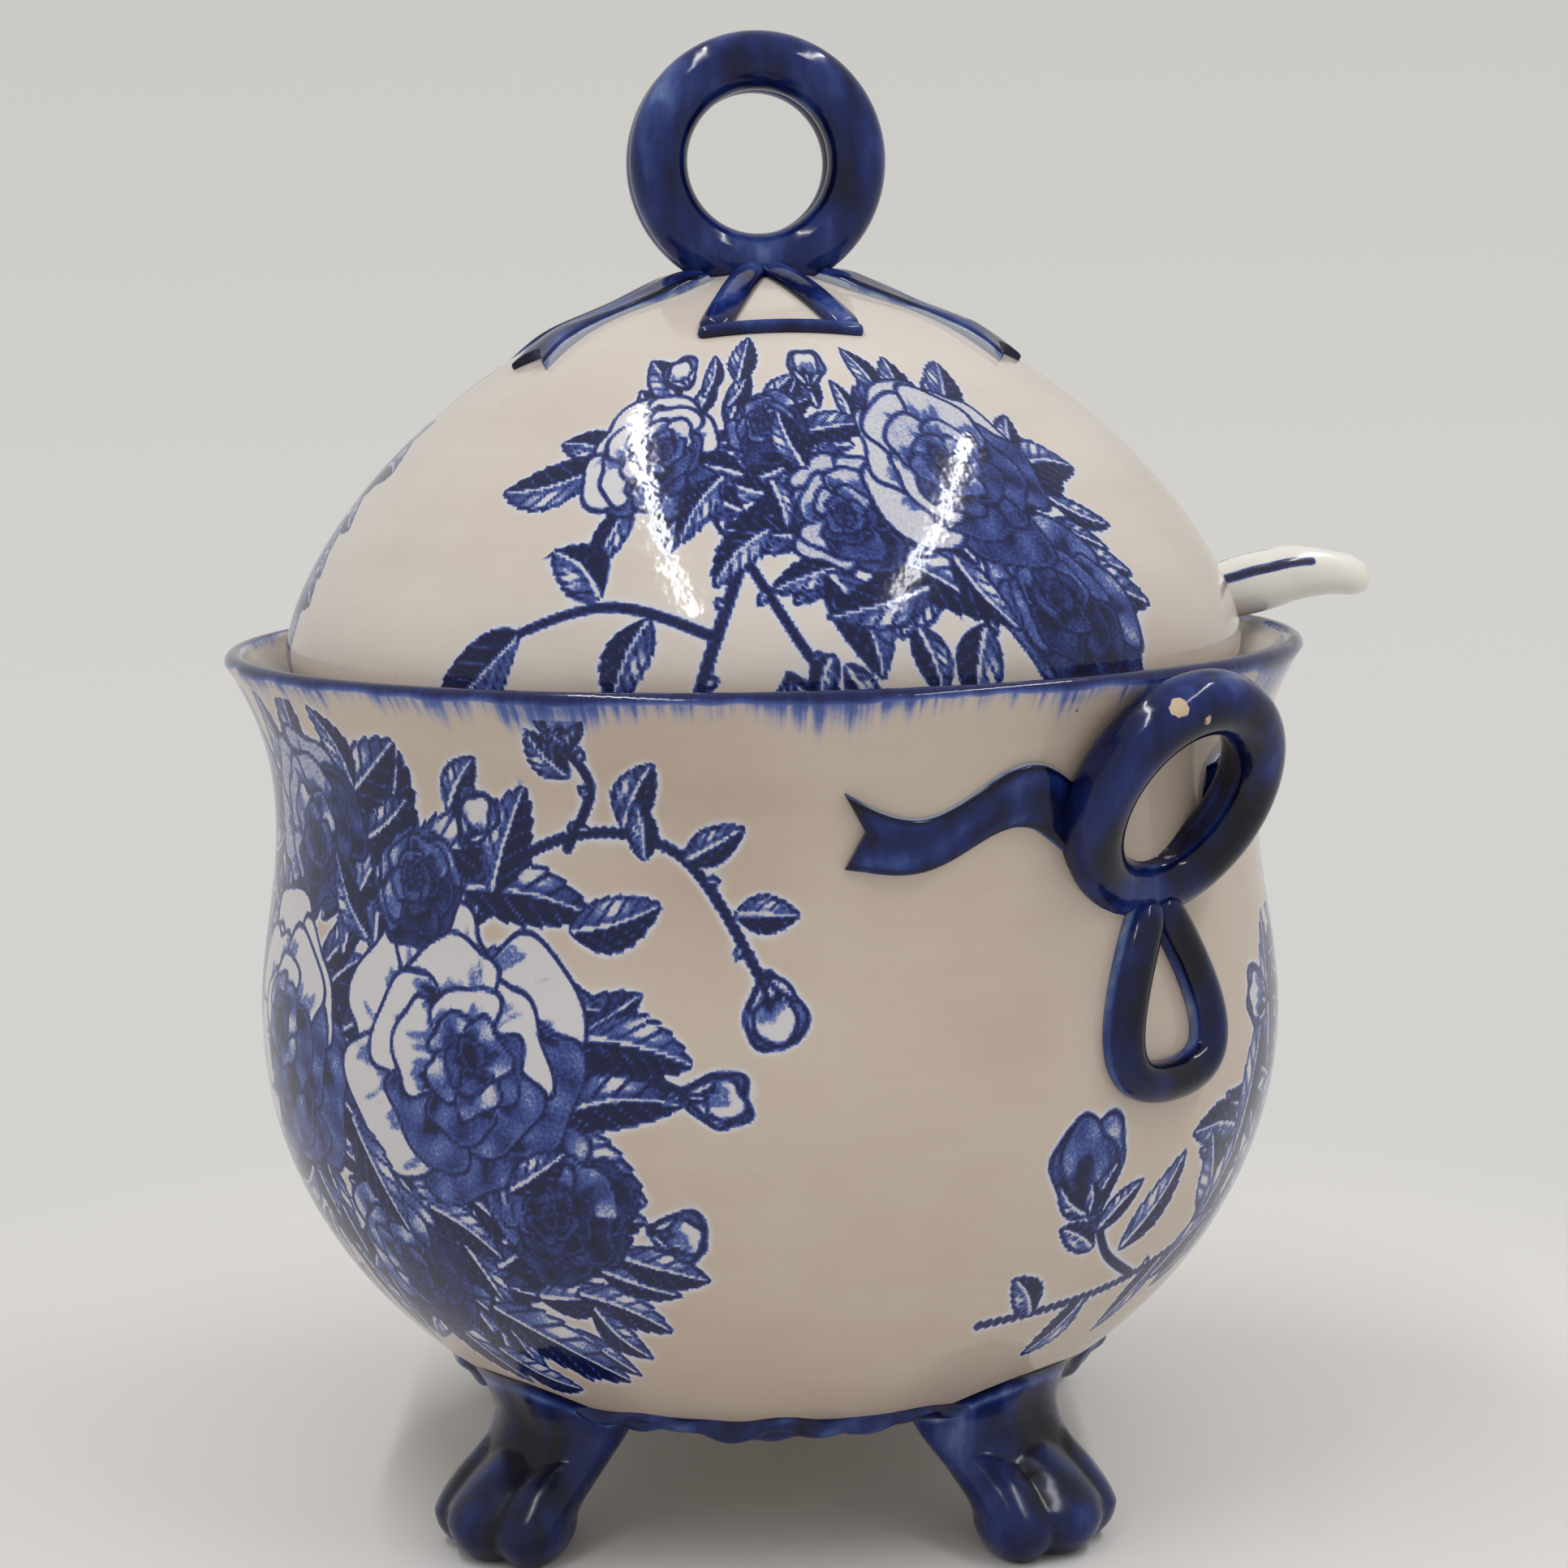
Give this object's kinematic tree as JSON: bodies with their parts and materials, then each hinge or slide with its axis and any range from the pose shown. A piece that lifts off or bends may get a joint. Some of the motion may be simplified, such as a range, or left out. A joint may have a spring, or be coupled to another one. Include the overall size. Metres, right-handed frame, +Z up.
{
  "type": "soup tureen",
  "caption": "Round lidded soup tureen on paw feet, with ring handles, a ring finial and a ladle that passes out through a notch in the lid.",
  "frame": {"origin": "on the table, under the bowl's axis", "axes": "+Z up along the bowl's axis; the two ring handles and two of the feet lie along X, the other two feet along Y, and the front is -Y"},
  "size_m": [0.263, 0.236, 0.3194],
  "materials": {
    "cream_glaze": "gloss",
    "cobalt_glaze": "gloss",
    "white_glaze": "gloss"
  },
  "bodies": {
    "tureen": {"bowl": "cream_glaze", "handle_ring_right": "cobalt_glaze", "handle_bow_right": "cobalt_glaze", "handle_ribbon_right_front": "cobalt_glaze", "handle_ribbon_right_back": "cobalt_glaze", "handle_ring_left": "cobalt_glaze", "handle_bow_left": "cobalt_glaze", "handle_ribbon_left_front": "cobalt_glaze", "handle_ribbon_left_back": "cobalt_glaze", "foot_right": "cobalt_glaze", "foot_back": "cobalt_glaze", "foot_left": "cobalt_glaze", "foot_front": "cobalt_glaze", "garland_right_back": "cobalt_glaze", "garland_back_left": "cobalt_glaze", "garland_left_front": "cobalt_glaze", "garland_front_right": "cobalt_glaze"},
    "lid": {"lid_dome": "cream_glaze", "finial_ring": "cobalt_glaze", "finial_bow_front": "cobalt_glaze", "finial_bow_back": "cobalt_glaze", "finial_ribbon_front_right": "cobalt_glaze", "finial_ribbon_front_left": "cobalt_glaze", "finial_ribbon_back_right": "cobalt_glaze", "finial_ribbon_back_left": "cobalt_glaze"},
    "ladle": {"ladle_bowl": "white_glaze", "ladle_handle": "white_glaze"}
  },
  "joints": [
    {"name": "lid_lift", "type": "slide", "parent": "tureen", "child": "lid", "axis": [0, 0, 1], "range_m": [0, 0.25]},
    {"name": "ladle_lift", "type": "slide", "parent": "tureen", "child": "ladle", "axis": [0, 0, 1], "range_m": [0, 0.17]}
  ],
  "couplings": [
    {"joint": "ladle_lift", "follows": "lid_lift", "ratio": 0.68}
  ]
}
